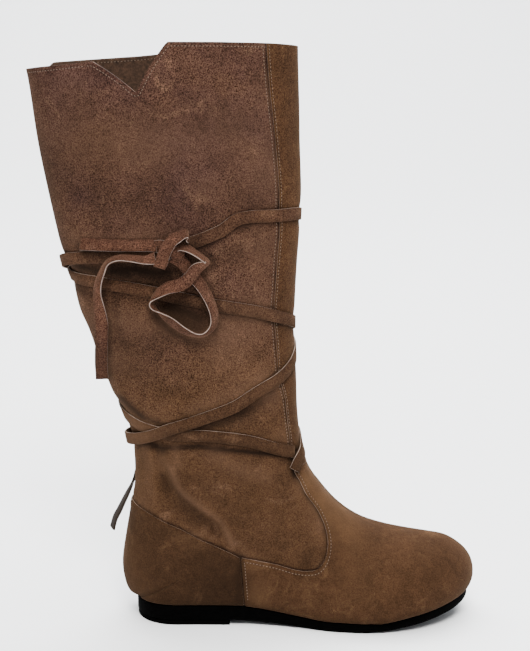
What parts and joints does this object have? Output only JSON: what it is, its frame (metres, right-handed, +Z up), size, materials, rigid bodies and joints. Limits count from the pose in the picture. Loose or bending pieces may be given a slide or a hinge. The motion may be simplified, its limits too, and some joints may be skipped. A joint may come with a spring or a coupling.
{
  "type": "medieval boot",
  "caption": "Right-foot tall folk boot in soft suede with a notched collar, a long thong wound and tied round the shaft, and a flat rubber sole with a low heel.",
  "frame": {"origin": "centre of the boot's footprint box on the floor, measured without the loose parts of the lace", "axes": "+X towards the toe, +Y towards the inner side, +Z up"},
  "size_m": [0.3492, 0.1038, 0.4546],
  "materials": {
    "suede": "brown suede, matt nap",
    "sole_rubber": "black matt rubber",
    "insole_leather": "dark smooth leather",
    "thong": "suede with pale cut edges"
  },
  "bodies": {
    "root": {"upper": "suede", "vamp": "suede", "heel_counter": "suede", "front_facing": "suede", "outsole": "sole_rubber", "heel_lift": "sole_rubber", "insole": "insole_leather", "lace_wraps": "thong", "lace_knot": "thong", "lace_loop": "thong", "lace_end_short": "thong", "lace_end_long": "thong", "lace_tail": "thong"}
  },
  "joints": []
}
